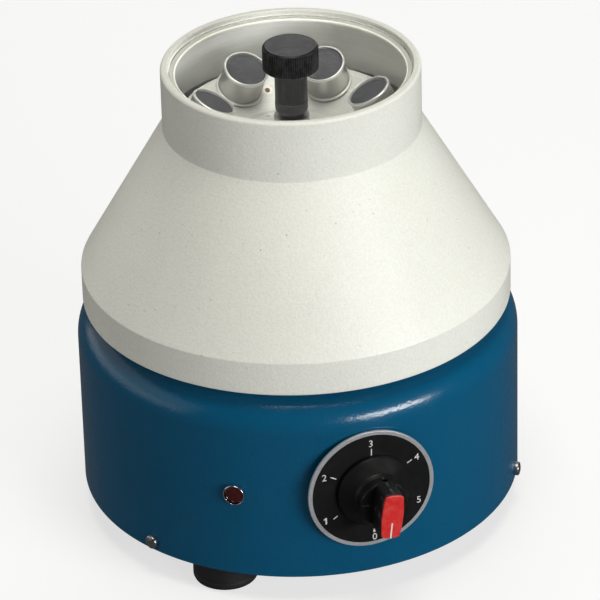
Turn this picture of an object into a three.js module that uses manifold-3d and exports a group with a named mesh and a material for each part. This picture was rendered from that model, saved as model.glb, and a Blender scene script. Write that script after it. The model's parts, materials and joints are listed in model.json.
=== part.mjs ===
// Small bench-top laboratory centrifuge: a blue drum base with the motor inside, a cream guard
// bowl with a clear lid, and a fixed-angle rotor that carries six capped tube shields.
// Millimetres, +Z up. The origin is on the rotor's axis, at the plane of the foot soles, and the
// controls are on the -Y side.

import * as THREE from 'three';
import { mergeVertices } from 'three/addons/utils/BufferGeometryUtils.js';
import Module from 'manifold-3d';

const wasm = await Module();
wasm.setup();

// ---------------------------------------------------------------- driving dimensions

const GAP = 0.3; // clearance between pieces that touch on the real object

const FOOT_HEIGHT = 14;
const FOOT_RADIUS = 16.3;
const FOOT_CIRCLE = 92;
const FOOT_AZIMUTHS = [-25, 95, 215];

const DRUM_RADIUS = 110;
const DRUM_TOP = 112;
const DRUM_SHOULDER = 18;
const SHEET = 2;

const BASE_SHEET = 1.6;
const BASE_RIM_TOP = 26;
const DRUM_SCREW_HEIGHT = 19.2;
const DRUM_SCREW_AZIMUTHS = [-42.5, 78.5, 198];

const BOWL_BOTTOM = 115;
const SKIRT_RADIUS = 106.6;
const SKIRT_TOP = 132.7;
const NECK_RADIUS = 63.5;
const NECK_CREASE = 207.7;
const NECK_TOP = 239.3;
const LID_RADIUS = 59.2;
const LID_THICKNESS = 2.5;
const LID_RECESS = 2.2; // lid's face below the neck's rim
const SEAT_RADIUS = 56.3;
const SEAT_THICKNESS = 2;
const BOWL_FLANGE_RADIUS = 80;
const BOWL_SCREW_CIRCLE = 86;
const BOWL_SCREW_AZIMUTHS = [30, 150, 270];

const LID_KNOB_RADIUS = 13.75;
const LID_KNOB_HEIGHT = 12.45;
const LID_BOSS_RADIUS = 8;
const LID_BOSS_LENGTH = 15.2;

const SHAFT_RADIUS = 4;
const SHAFT_BOTTOM = 21.5;
const SHAFT_TOP = 215.5;
const BEARING_RADIUS = 11;
const BEARING_HEIGHT = 6.8;

const MOTOR_RADIUS = 38;
const MOTOR_BOTTOM = 19;
const MOTOR_TOP = 102.9;
const CORE_BOTTOM = 46;
const CORE_TOP = 84;
const ARMATURE_RADIUS = 22.9;
const POLE_RADIUS = 23.6;
const SLOT_COUNT = 12;
const BRUSH_HEIGHT = 33;

const SHIELD_COUNT = 6;
const SHIELD_FIRST_AZIMUTH = 24.7; // from +Y towards +X
const SHIELD_TILT = 26.24; // from the vertical, mouths leaning inwards
const SHIELD_MOUTH_CIRCLE = 37.45;
const SHIELD_MOUTH_HEIGHT = 220.5;
const SHIELD_RADIUS = 10.8;
const SHIELD_LENGTH = 100;
const SHIELD_WALL = 0.8;
const COLLAR_RADIUS = 12;
const COLLAR_DEPTH = 14; // collar's top below the mouth, along the shield's axis
const COLLAR_HEIGHT = 1.2;

const DISH_FLAT_RADIUS = 29.5;
const DISH_RADIUS = 55;
const DISH_SHEET = 1.5;
const CRADLE_DEPTH = 58; // lower dish below the mouths, along a shield's axis
const CRADLE_RADIUS = 76;
const HUB_RADIUS = 12;
const HUB_BOSS_RADIUS = 8.8;
const HUB_TOP = 210.5;
const NUT_RADIUS = 8.1;
const NUT_TOP = 218.9;

const DIAL_AZIMUTH = 17.3; // from -Y towards +X
const DIAL_HEIGHT = 62;
const DIAL_RADIUS = 32;
const DIAL_FRONT = 2; // face of the dial beyond the drum's wall
const DIAL_HOLE = 6.4;
const KNOB_AZIMUTH = 17.8; // the regulator's spindle stands 1 mm to the right of the dial's middle
const KNOB_SKIRT_RADIUS = 18.7;
const KNOB_HUB_RADIUS = 12;
const KNOB_HUB_FRONT = 17.4;
const KNOB_FRONT = 28.8;
const KNOB_REST_ANGLE = 6.6; // clockwise past the zero mark
const GRIP_END = 11; // half the grip's length at its corners
const GRIP_END_WIDTH = 4.7; // half its width there
const GRIP_BULGE = 1.9; // how far the control points of its bowed sides and ends stand out
const POINTER_THICKNESS = 1.1;

const LAMP_AZIMUTH = -17.2;
const LAMP_HEIGHT = 60.7;
const GLAND_HEIGHT = 40;
const GLAND_REACH = 22;

const FINE = 32; // sides of the large round pieces
const HIDDEN = 24; // the same, where nothing shows
const MEDIUM = 14;
const SMALL = 10;
const SHIELD_SIDES = 12;

// ---------------------------------------------------------------- geometry helpers

const radians = THREE.MathUtils.degToRad;

// A closed mesh with shared vertices and without collapsed triangles.
function clean(geometry) {
  const bare = geometry.index ? geometry.clone() : mergeVertices(geometry.clone());
  bare.deleteAttribute('normal');
  bare.deleteAttribute('uv');
  const merged = mergeVertices(bare, 1e-4);
  const source = merged.index.array;
  const kept = [];
  for (let i = 0; i < source.length; i += 3) {
    const [a, b, c] = source.slice(i, i + 3);
    if (a !== b && b !== c && c !== a) kept.push(a, b, c);
  }
  merged.setIndex(kept);
  return merged;
}

function toSolid(geometry) {
  const closed = clean(geometry);
  const mesh = new wasm.Mesh({
    numProp: 3,
    vertProperties: new Float32Array(closed.attributes.position.array),
    triVerts: new Uint32Array(closed.index.array),
  });
  return new wasm.Manifold(mesh);
}

function fromSolid(solid) {
  const mesh = solid.getMesh();
  const geometry = new THREE.BufferGeometry();
  geometry.setAttribute('position', new THREE.BufferAttribute(new Float32Array(mesh.vertProperties), 3));
  geometry.setIndex([...mesh.triVerts]);
  return geometry;
}

function cut(geometry, tools) {
  return fromSolid(tools.reduce((solid, tool) => solid.subtract(toSolid(tool)), toSolid(geometry)));
}

function join(geometries) {
  const [first, ...others] = geometries;
  return fromSolid(others.reduce((solid, other) => solid.add(toSolid(other)), toSolid(first)));
}

// A body turned about Z. The profile is a list of [radius, height] that runs up the outside.
// It closes on itself unless both ends are on the axis.
function turned(profile, sides = MEDIUM) {
  const points = profile.map(([radius, height]) => new THREE.Vector2(radius, height));
  const onAxis = profile[0][0] === 0 && profile[profile.length - 1][0] === 0;
  if (!onAxis) points.push(points[0].clone());
  return clean(new THREE.LatheGeometry(points, sides).rotateX(Math.PI / 2));
}

function ring(inner, outer, bottom, top, sides = MEDIUM) {
  return turned([[inner, bottom], [outer, bottom], [outer, top], [inner, top]], sides);
}

function rod(radius, bottom, top, sides = SMALL) {
  return turned([[0, bottom], [radius, bottom], [radius, top], [0, top]], sides);
}

function box(width, depth, bottom, top, x = 0, y = 0) {
  return new THREE.BoxGeometry(width, depth, top - bottom).translate(x, y, (bottom + top) / 2);
}

function extruded(shape, bottom, top, curveSegments = 4) {
  const options = { depth: top - bottom, bevelEnabled: false, curveSegments };
  return new THREE.ExtrudeGeometry(shape, options).translate(0, 0, bottom);
}

// Part of a ring between two angles, in degrees from +X.
function sector(inner, outer, from, to, bottom, top) {
  const shape = new THREE.Shape();
  shape.absarc(0, 0, outer, radians(from), radians(to), false);
  shape.absarc(0, 0, inner, radians(to), radians(from), true);
  shape.closePath();
  return extruded(shape, bottom, top);
}

// Points of an arc in a profile, ends included.
function arcPoints(centreRadius, centreHeight, radius, from, to, steps) {
  const points = [];
  for (let i = 0; i <= steps; i += 1) {
    const angle = radians(from + ((to - from) * i) / steps);
    points.push([centreRadius + radius * Math.cos(angle), centreHeight + radius * Math.sin(angle)]);
  }
  return points;
}

// The frame of something on the drum's wall: X to the right of a viewer, Y up, Z straight out of
// the wall, with its origin on the wall. The azimuth runs from -Y towards +X.
function wallFrame(azimuth, height) {
  const angle = radians(azimuth);
  const right = new THREE.Vector3(Math.cos(angle), Math.sin(angle), 0);
  const out = new THREE.Vector3(Math.sin(angle), -Math.cos(angle), 0);
  const frame = new THREE.Matrix4().makeBasis(right, new THREE.Vector3(0, 0, 1), out);
  return frame.setPosition(out.multiplyScalar(DRUM_RADIUS).setZ(height));
}

// The frame of a tube shield: Z up its axis, with its origin at the middle of its mouth.
function shieldFrame(index) {
  const azimuth = SHIELD_FIRST_AZIMUTH + (index * 360) / SHIELD_COUNT;
  const place = new THREE.Matrix4().makeTranslation(0, SHIELD_MOUTH_CIRCLE, SHIELD_MOUTH_HEIGHT);
  const tilt = new THREE.Matrix4().makeRotationX(radians(SHIELD_TILT));
  return new THREE.Matrix4().makeRotationZ(-radians(azimuth)).multiply(place).multiply(tilt);
}

function around(radius, azimuth) {
  const angle = radians(azimuth);
  return [radius * Math.sin(angle), -radius * Math.cos(angle)];
}

// ---------------------------------------------------------------- materials

const looks = {
  bluePaint: [0x125a80, 0.5, 0.1],
  creamPaint: [0xe6e4d4, 0.55, 0.1],
  aluminium: [0xb4b4ae, 0.4, 0.9],
  steel: [0xa9a9ac, 0.35, 1],
  zinc: [0x9a9c9e, 0.45, 0.9],
  blackPlastic: [0x1b1b1d, 0.45, 0],
  capBlack: [0x3d3e44, 0.6, 0],
  rubber: [0x17171a, 0.8, 0],
  acrylic: [0xe8ece8, 0.05, 0],
  redPlastic: [0xd8262a, 0.4, 0],
  lens: [0x5a1414, 0.15, 0],
  chrome: [0xd0d0d4, 0.1, 1],
  copper: [0xa9623a, 0.4, 0.8],
  laminations: [0x6c6e72, 0.5, 0.8],
  carbon: [0x2a2a2c, 0.7, 0.2],
  board: [0x27503a, 0.6, 0],
};

const materials = {};
for (const [name, [color, roughness, metalness]] of Object.entries(looks)) {
  materials[name] = new THREE.MeshStandardMaterial({ name, color, roughness, metalness });
}

const centrifuge = new THREE.Group();

function add(name, geometry, material, parent = centrifuge) {
  const mesh = new THREE.Mesh(clean(geometry), materials[material]);
  mesh.name = name;
  parent.add(mesh);
  return mesh;
}

function placedGroup(matrix) {
  const group = new THREE.Group();
  group.applyMatrix4(matrix);
  centrifuge.add(group);
  return group;
}

// ---------------------------------------------------------------- drum, base plate and feet

const BASE_BOTTOM = FOOT_HEIGHT + 0.2;
const BASE_TOP = BASE_BOTTOM + BASE_SHEET;
const DRUM_INNER = DRUM_RADIUS - SHEET;
const SHOULDER_CENTRE = [DRUM_RADIUS - DRUM_SHOULDER, DRUM_TOP - DRUM_SHOULDER];
const SHAFT_HOLE = 14;
const SCREW_HOLE = 2.3;
const REGULATOR_HOLE = 5.4;
const LAMP_HOLE = 5.5;
const GLAND_HOLE = 8.2;
const FOOT_HOLE = 5.4;

function wallHole(radius, azimuth, height) {
  return rod(radius, -8, 4, SMALL).applyMatrix4(wallFrame(azimuth, height));
}

function bowlScrewHoles() {
  return BOWL_SCREW_AZIMUTHS.map((azimuth) => {
    const [x, y] = around(BOWL_SCREW_CIRCLE, azimuth);
    return rod(SCREW_HOLE, DRUM_TOP - 5, BOWL_BOTTOM + 6, 8).translate(x, y, 0);
  });
}

const drumShell = turned([
  [DRUM_INNER, FOOT_HEIGHT],
  [DRUM_RADIUS, FOOT_HEIGHT],
  ...arcPoints(...SHOULDER_CENTRE, DRUM_SHOULDER, 0, 90, 4),
  [SHAFT_HOLE, DRUM_TOP],
  [SHAFT_HOLE, DRUM_TOP - SHEET],
  ...arcPoints(...SHOULDER_CENTRE, DRUM_SHOULDER - SHEET, 90, 0, 3),
], FINE);
add('drum', cut(drumShell, [
  wallHole(REGULATOR_HOLE, KNOB_AZIMUTH, DIAL_HEIGHT),
  wallHole(LAMP_HOLE, LAMP_AZIMUTH, LAMP_HEIGHT),
  wallHole(GLAND_HOLE, 180, GLAND_HEIGHT),
  ...DRUM_SCREW_AZIMUTHS.map((azimuth) => wallHole(SCREW_HOLE, azimuth, DRUM_SCREW_HEIGHT)),
  ...bowlScrewHoles(),
]), 'bluePaint');

const baseRimRadius = DRUM_INNER - 2 * GAP;
const VENT_COUNT = 8;
const VENT_CIRCLE = 60;
const VENT_RADIUS = 4;
const ventHoles = Array.from({ length: VENT_COUNT }, (unused, i) => {
  const [x, y] = around(VENT_CIRCLE, (i * 360) / VENT_COUNT);
  return rod(VENT_RADIUS, BASE_BOTTOM - 1, BASE_TOP + 1, 8).translate(x, y, 0);
});
const footHoles = FOOT_AZIMUTHS.map((azimuth) => {
  const [x, y] = around(FOOT_CIRCLE, azimuth);
  return rod(FOOT_HOLE, BASE_BOTTOM - 1, BASE_TOP + 1).translate(x, y, 0);
});
const basePan = turned([
  [0, BASE_BOTTOM],
  [baseRimRadius, BASE_BOTTOM],
  [baseRimRadius, BASE_RIM_TOP],
  [baseRimRadius - BASE_SHEET, BASE_RIM_TOP],
  [baseRimRadius - BASE_SHEET, BASE_TOP],
  [0, BASE_TOP],
], FINE);
add('base_plate', cut(basePan, [
  ...DRUM_SCREW_AZIMUTHS.map((azimuth) => wallHole(SCREW_HOLE, azimuth, DRUM_SCREW_HEIGHT)),
  ...ventHoles,
  ...footHoles,
]), 'zinc');

// A push-in rubber foot: a round body with a rounded sole, and a barbed stem through the plate.
const FOOT_STEM = 5;
const FOOT_BARB = 6.8;
const footProfile = [
  [0, 0],
  [FOOT_RADIUS - 2.1, 0],
  [FOOT_RADIUS - 0.7, 0.7],
  [FOOT_RADIUS, 2.2],
  [FOOT_RADIUS, BASE_BOTTOM - 1.2],
  [FOOT_RADIUS - 1, BASE_BOTTOM - GAP],
  [FOOT_STEM, BASE_BOTTOM - GAP],
  [FOOT_STEM, BASE_TOP + GAP],
  [FOOT_BARB, BASE_TOP + GAP],
  [4, BASE_TOP + 4.5],
  [0, BASE_TOP + 4.5],
];
const footNames = ['foot_front', 'foot_right', 'foot_rear'];
FOOT_AZIMUTHS.forEach((azimuth, i) => {
  const [x, y] = around(FOOT_CIRCLE, azimuth);
  add(footNames[i], turned(footProfile, MEDIUM), 'rubber').position.set(x, y, 0);
});

// Slotted cheese-head screws through the drum's wall into the base plate's rim.
const SCREW_HEAD_RADIUS = 3.5;
const SCREW_HEAD_HEIGHT = 2.4;
const SCREW_SHANK = 1.9;

function slottedScrew(length) {
  const head = turned([
    [0, -length],
    [SCREW_SHANK, -length],
    [SCREW_SHANK, GAP],
    [SCREW_HEAD_RADIUS, GAP],
    [SCREW_HEAD_RADIUS, 1.5],
    [SCREW_HEAD_RADIUS - 1.2, GAP + SCREW_HEAD_HEIGHT],
    [0, GAP + SCREW_HEAD_HEIGHT],
  ], SMALL);
  return cut(head, [box(1, 9, 1.7, 4)]);
}

const drumScrewNames = ['drum_screw_left', 'drum_screw_right', 'drum_screw_rear'];
DRUM_SCREW_AZIMUTHS.forEach((azimuth, i) => {
  const slot = placedGroup(wallFrame(azimuth, DRUM_SCREW_HEIGHT));
  add(drumScrewNames[i], slottedScrew(7), 'steel', slot).rotation.z = radians(-45 + 20 * i);
});

// ---------------------------------------------------------------- guard bowl and its fixing

const spacerBottom = DRUM_TOP + GAP;
const spacerTop = BOWL_BOTTOM - GAP;
add('spacer_ring', cut(ring(81, 91, spacerBottom, spacerTop, HIDDEN), bowlScrewHoles()), 'rubber');

const coneSlope = Math.atan2(SKIRT_RADIUS - NECK_RADIUS, NECK_CREASE - SKIRT_TOP);
const creaseDrop = SHEET * Math.tan(coneSlope / 2); // inner creases sit lower than the outer ones
const lidTop = NECK_TOP - LID_RECESS;
const lidBottom = lidTop - LID_THICKNESS;
const bowlFlangeTop = BOWL_BOTTOM + SHEET;
const bowlShell = turned([
  [BOWL_FLANGE_RADIUS, BOWL_BOTTOM],
  [SKIRT_RADIUS - 1, BOWL_BOTTOM],
  [SKIRT_RADIUS, BOWL_BOTTOM + 1],
  [SKIRT_RADIUS, SKIRT_TOP],
  [NECK_RADIUS, NECK_CREASE],
  [NECK_RADIUS, NECK_TOP - 0.6],
  [NECK_RADIUS - 0.6, NECK_TOP],
  [LID_RADIUS + 2 * GAP, NECK_TOP],
  [LID_RADIUS + 2 * GAP, lidBottom - GAP],
  [SEAT_RADIUS, lidBottom - GAP],
  [SEAT_RADIUS, lidBottom - SEAT_THICKNESS],
  [NECK_RADIUS - SHEET, lidBottom - SEAT_THICKNESS],
  [NECK_RADIUS - SHEET, NECK_CREASE - creaseDrop],
  [SKIRT_RADIUS - SHEET, SKIRT_TOP - creaseDrop],
  [SKIRT_RADIUS - SHEET, bowlFlangeTop],
  [BOWL_FLANGE_RADIUS, bowlFlangeTop],
], FINE);
add('bowl', cut(bowlShell, bowlScrewHoles()), 'creamPaint');

const floorBottom = bowlFlangeTop + GAP;
const floorTop = floorBottom + 1.6;
const floorRadius = SKIRT_RADIUS - SHEET - 2 * GAP;
const floorRimTop = 127;
const SEAL_HOLE = 12.4;
const floorPan = turned([
  [SEAL_HOLE, floorBottom],
  [floorRadius, floorBottom],
  [floorRadius, floorRimTop],
  [floorRadius - 1.6, floorRimTop],
  [floorRadius - 1.6, floorTop],
  [SEAL_HOLE, floorTop],
], FINE);
add('chamber_floor', cut(floorPan, bowlScrewHoles()), 'aluminium');

const bowlScrewNames = ['bowl_screw_1', 'bowl_screw_2', 'bowl_screw_3'];
BOWL_SCREW_AZIMUTHS.forEach((azimuth, i) => {
  const [x, y] = around(BOWL_SCREW_CIRCLE, azimuth);
  const headTop = DRUM_TOP - SHEET - GAP;
  const screw = turned([
    [0, headTop - SCREW_HEAD_HEIGHT],
    [SCREW_HEAD_RADIUS, headTop - SCREW_HEAD_HEIGHT],
    [SCREW_HEAD_RADIUS, headTop],
    [SCREW_SHANK, headTop],
    [SCREW_SHANK, floorTop + 2.4],
    [0, floorTop + 2.4],
  ], 12);
  add(bowlScrewNames[i], screw, 'steel').position.set(x, y, 0);
});

const SEAL_FLANGE = 15;
const sealProfile = [
  [SHAFT_RADIUS + 0.6, floorBottom - 3],
  [SEAL_HOLE - 2 * GAP, floorBottom - 3],
  [SEAL_HOLE - 2 * GAP, floorTop + GAP],
  [SEAL_FLANGE, floorTop + GAP],
  [SEAL_FLANGE - 1, floorTop + 2.5],
  [SHAFT_RADIUS + 0.6, floorTop + 2.5],
];
add('shaft_seal', turned(sealProfile, MEDIUM), 'rubber');

// ---------------------------------------------------------------- lid

const LID_STUD_RADIUS = 3;
const LID_HOLE = 3.4;
add('lid_disc', turned([
  [LID_HOLE, lidBottom],
  [LID_RADIUS, lidBottom],
  [LID_RADIUS, lidTop],
  [LID_HOLE, lidTop],
], FINE), 'acrylic');

// A knurled cap: a ribbed rim with a plain top, and a blind hole for the boss's stud.
const KNURL_COUNT = 24;
const KNURL_DEPTH = 0.35;
const knurl = new THREE.Shape();
for (let i = 0; i < 2 * KNURL_COUNT; i += 1) {
  const angle = (i * Math.PI) / KNURL_COUNT;
  const radius = LID_KNOB_RADIUS - (i % 2) * KNURL_DEPTH;
  const move = i === 0 ? 'moveTo' : 'lineTo';
  knurl[move](radius * Math.cos(angle), radius * Math.sin(angle));
}
const lidKnobTop = lidTop + LID_KNOB_HEIGHT;
const lidKnobBlank = extruded(knurl, lidTop + GAP, lidKnobTop - 0.8);
const lidKnobCrown = turned([
  [0, lidKnobTop - 1.5],
  [LID_KNOB_RADIUS - KNURL_DEPTH - 0.1, lidKnobTop - 1.5],
  [LID_KNOB_RADIUS - KNURL_DEPTH - 0.1, lidKnobTop - 0.6],
  [LID_KNOB_RADIUS - 1.1, lidKnobTop],
  [0, lidKnobTop],
], FINE);
const studHole = rod(LID_HOLE, lidTop - 2, lidTop + 8, SMALL);
add('lid_knob', cut(join([lidKnobBlank, lidKnobCrown]), [studHole]), 'blackPlastic');

const lidBossBottom = lidBottom - LID_BOSS_LENGTH;
add('lid_boss', turned([
  [0, lidBossBottom],
  [LID_BOSS_RADIUS - 0.6, lidBossBottom],
  [LID_BOSS_RADIUS, lidBossBottom + 0.6],
  [LID_BOSS_RADIUS, lidBottom - GAP],
  [LID_STUD_RADIUS, lidBottom - GAP],
  [LID_STUD_RADIUS, lidTop + 7.5],
  [0, lidTop + 7.5],
]), 'blackPlastic');

// ---------------------------------------------------------------- motor

const bearingBore = SHAFT_RADIUS + 0.4;
const housingBore = BEARING_RADIUS + GAP;
const BOSS_RADIUS = 14.5;
const BRACKET = 3.7;
const canBottom = MOTOR_BOTTOM + BRACKET + GAP;
const canTop = MOTOR_TOP - 4 - GAP;
const lowerBearingBottom = MOTOR_BOTTOM + 2.1;
const upperBearingTop = MOTOR_TOP - 1.8;
const MOUNT_CIRCLE = 50;
const MOUNT_RADIUS = 6.5;
const MOUNT_AZIMUTHS = [90, 210, 330];

function bearing(bottom) {
  return ring(bearingBore, BEARING_RADIUS, bottom, bottom + BEARING_HEIGHT);
}

add('motor_can', ring(MOTOR_RADIUS - SHEET, MOTOR_RADIUS, canBottom, canTop, HIDDEN), 'zinc');

// The upper bracket holds the bearing and has three ears that hang from the rubber mounts.
const ears = MOUNT_AZIMUTHS.map((azimuth) => {
  const ear = box(18, 24, MOTOR_TOP - 4, MOTOR_TOP, 0, -MOUNT_CIRCLE + 5);
  return ear.rotateZ(radians(azimuth));
});
const upperBlank = join([rod(MOTOR_RADIUS, MOTOR_TOP - 4, MOTOR_TOP, HIDDEN), ...ears,
  rod(BOSS_RADIUS, upperBearingTop - BEARING_HEIGHT - 0.5, MOTOR_TOP, MEDIUM)]);
add('motor_bracket_upper', cut(upperBlank, [
  rod(housingBore, upperBearingTop - BEARING_HEIGHT - 2, upperBearingTop + GAP, MEDIUM),
  rod(SHAFT_RADIUS + 1.5, MOTOR_TOP - 5, MOTOR_TOP + 1, SMALL),
]), 'aluminium');

// The lower bracket holds the other bearing and two square brush guides.
const BRUSH_SIZE = 5;
const brushSlide = BRUSH_SIZE + 2 * GAP;
const guideParts = [];
const guideSlots = [];
for (const side of [-1, 1]) {
  guideParts.push(box(10, 13, MOTOR_BOTTOM + 1, BRUSH_HEIGHT + 4.2, 0, side * 22));
  guideSlots.push(box(brushSlide, 16, BRUSH_HEIGHT - brushSlide / 2, BRUSH_HEIGHT + brushSlide / 2,
    0, side * 22));
}
const lowerBlank = join([
  rod(MOTOR_RADIUS, MOTOR_BOTTOM, MOTOR_BOTTOM + BRACKET, HIDDEN),
  rod(BOSS_RADIUS, MOTOR_BOTTOM, lowerBearingBottom + BEARING_HEIGHT, MEDIUM),
  ...guideParts,
]);
add('motor_bracket_lower', cut(lowerBlank, [
  rod(housingBore, lowerBearingBottom - GAP, lowerBearingBottom + BEARING_HEIGHT + 1, MEDIUM),
  ...guideSlots,
]), 'aluminium');

add('bearing_upper', bearing(upperBearingTop - BEARING_HEIGHT), 'steel');
add('bearing_lower', bearing(lowerBearingBottom), 'steel');

const COMMUTATOR_RADIUS = 11;
['brush_front', 'brush_rear'].forEach((name, i) => {
  const side = i === 0 ? -1 : 1;
  const half = BRUSH_SIZE / 2;
  const length = 15;
  const middle = side * (COMMUTATOR_RADIUS + GAP + length / 2);
  add(name, box(BRUSH_SIZE, length, BRUSH_HEIGHT - half, BRUSH_HEIGHT + half, 0, middle), 'carbon');
});

// Stator: a laminated ring with two pole shoes, and a saddle coil round each pole.
const stackRadius = MOTOR_RADIUS - SHEET - 3 * GAP;
const slotRadius = 30;
const POLE_HALF_ANGLE = 58;
const stack = new THREE.Shape();
stack.absarc(0, 0, stackRadius, 0, 2 * Math.PI, false);
const bore = new THREE.Path();
for (const pole of [0, 180]) {
  const [from, to] = [pole - POLE_HALF_ANGLE, pole + POLE_HALF_ANGLE];
  bore.absarc(0, 0, POLE_RADIUS, radians(from), radians(to), false);
  bore.absarc(0, 0, slotRadius, radians(to), radians(from + 180), false);
}
bore.closePath();
stack.holes.push(bore);
add('stator_core', extruded(stack, CORE_BOTTOM, CORE_TOP, 8), 'laminations');

const coilInner = POLE_RADIUS + 0.6;
const coilOuter = slotRadius - 2 * GAP;
const COIL_END = 4.6;
const COIL_FROM = POLE_HALF_ANGLE + 3;
const COIL_TO = COIL_FROM + 14;
['field_coil_right', 'field_coil_left'].forEach((name, i) => {
  const lower = CORE_BOTTOM - GAP;
  const upper = CORE_TOP + GAP;
  const coil = join([
    sector(coilInner, coilOuter, COIL_FROM, COIL_TO, lower - COIL_END, upper + COIL_END),
    sector(coilInner, coilOuter, -COIL_TO, -COIL_FROM, lower - COIL_END, upper + COIL_END),
    sector(coilInner, coilOuter, -COIL_TO, COIL_TO, lower - COIL_END, lower),
    sector(coilInner, coilOuter, -COIL_TO, COIL_TO, upper, upper + COIL_END),
  ]);
  add(name, coil, 'copper').rotation.z = i * Math.PI;
});

MOUNT_AZIMUTHS.forEach((azimuth, i) => {
  const [x, y] = around(MOUNT_CIRCLE, azimuth);
  const mount = rod(MOUNT_RADIUS, MOTOR_TOP + GAP, DRUM_TOP - SHEET - GAP, SMALL);
  add(`motor_mount_${i + 1}`, mount, 'rubber').position.set(x, y, 0);
});

// ---------------------------------------------------------------- armature and shaft

add('motor_shaft', rod(SHAFT_RADIUS, SHAFT_BOTTOM, SHAFT_TOP, SMALL), 'steel');

const SLOT_WIDTH = 3;
const SLOT_DEPTH = 7;
const slotTools = [];
const slotBars = [];
for (let i = 0; i < SLOT_COUNT; i += 1) {
  const turn = (i * 2 * Math.PI) / SLOT_COUNT;
  const middle = ARMATURE_RADIUS - SLOT_DEPTH / 2;
  const slot = box(SLOT_DEPTH + 1, SLOT_WIDTH, CORE_BOTTOM - 1, CORE_TOP + 1, middle + 0.5);
  const bar = box(SLOT_DEPTH - 2, SLOT_WIDTH - 2 * GAP, CORE_BOTTOM - 2, CORE_TOP + 2, middle);
  slotTools.push(slot.rotateZ(turn));
  slotBars.push(bar.rotateZ(turn));
}
const coreBore = SHAFT_RADIUS + GAP;
const coreBlank = ring(coreBore, ARMATURE_RADIUS, CORE_BOTTOM, CORE_TOP, HIDDEN);
add('armature_core', cut(coreBlank, slotTools), 'laminations');

const WINDING_INNER = 8;
const WINDING_OUTER = 21;
const WINDING_END = 8;
const windingEnds = [CORE_BOTTOM - GAP - WINDING_END, CORE_TOP + GAP].map((bottom) => turned([
  [WINDING_INNER, bottom],
  [WINDING_OUTER, bottom],
  [WINDING_OUTER, bottom + WINDING_END],
  [WINDING_INNER, bottom + WINDING_END],
]));
add('armature_winding', join([...windingEnds, ...slotBars]), 'copper');

const commutatorBottom = lowerBearingBottom + BEARING_HEIGHT + 0.8;
const commutatorTop = CORE_BOTTOM - 2 * GAP - WINDING_END;
add('commutator', ring(coreBore, COMMUTATOR_RADIUS, commutatorBottom, commutatorTop, MEDIUM), 'copper');

// ---------------------------------------------------------------- rotor

const tilt = radians(SHIELD_TILT);
const dishSlope = Math.tan(tilt); // the dishes' cones stand square to the shields
const holeRadius = SHIELD_RADIUS + GAP;

// Height of a cone square to the shields, at a radius, when it crosses a shield's axis at a depth.
function coneHeight(depth, radius) {
  const axisRadius = SHIELD_MOUTH_CIRCLE + depth * Math.sin(tilt);
  const axisHeight = SHIELD_MOUTH_HEIGHT - depth * Math.cos(tilt);
  return axisHeight + (radius - axisRadius) * dishSlope;
}

// A spun dish: a flat middle with a hole for the hub, and a cone with a hole for each shield.
function dish(depth, outerRadius, hubHole, sides) {
  const flat = coneHeight(depth, DISH_FLAT_RADIUS);
  const rim = coneHeight(depth, outerRadius);
  const blank = turned([
    [hubHole, flat - DISH_SHEET],
    [DISH_FLAT_RADIUS + 0.4, flat - DISH_SHEET],
    [outerRadius, rim - DISH_SHEET / Math.cos(tilt)],
    [outerRadius, rim],
    [DISH_FLAT_RADIUS, flat],
    [hubHole, flat],
  ], sides);
  const holes = Array.from({ length: SHIELD_COUNT }, (unused, i) =>
    rod(holeRadius, -depth - 14, -depth + 14, SHIELD_SIDES).applyMatrix4(shieldFrame(i)));
  return cut(blank, holes);
}

// A cone rises a little on both sides of a shield, and the collar rests there.
const COLLAR_RISE = 0.8;
const dishDepth = COLLAR_DEPTH + COLLAR_HEIGHT + GAP + COLLAR_RISE;
const hubStep = coneHeight(dishDepth, DISH_FLAT_RADIUS) - DISH_SHEET - GAP;
const cradleFlat = coneHeight(CRADLE_DEPTH, DISH_FLAT_RADIUS) - DISH_SHEET;
add('rotor_dish', dish(dishDepth, DISH_RADIUS, HUB_BOSS_RADIUS + GAP, FINE), 'aluminium');
add('rotor_cradle', dish(CRADLE_DEPTH, CRADLE_RADIUS, HUB_RADIUS + GAP, HIDDEN), 'aluminium');
add('rotor_hub', turned([
  [SHAFT_RADIUS + GAP, cradleFlat - 5],
  [HUB_RADIUS + 6, cradleFlat - 5],
  [HUB_RADIUS + 6, cradleFlat - GAP],
  [HUB_RADIUS, cradleFlat - GAP],
  [HUB_RADIUS, hubStep],
  [HUB_BOSS_RADIUS, hubStep],
  [HUB_BOSS_RADIUS, HUB_TOP],
  [SHAFT_RADIUS + GAP, HUB_TOP],
]), 'aluminium');

// A closed round nut, rounded below, on the shaft's thread.
add('rotor_nut', turned([
  [SHAFT_RADIUS + GAP, HUB_TOP + GAP],
  [5.4, HUB_TOP + GAP],
  ...arcPoints(NUT_RADIUS - 3, HUB_TOP + 4.3, 3, -60, 0, 2),
  [NUT_RADIUS, NUT_TOP - 0.6],
  [NUT_RADIUS - 0.6, NUT_TOP],
  [0, NUT_TOP],
  [0, SHAFT_TOP + GAP],
  [SHAFT_RADIUS + GAP, SHAFT_TOP + GAP],
]), 'blackPlastic');

// ---------------------------------------------------------------- tube shields and their caps

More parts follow.
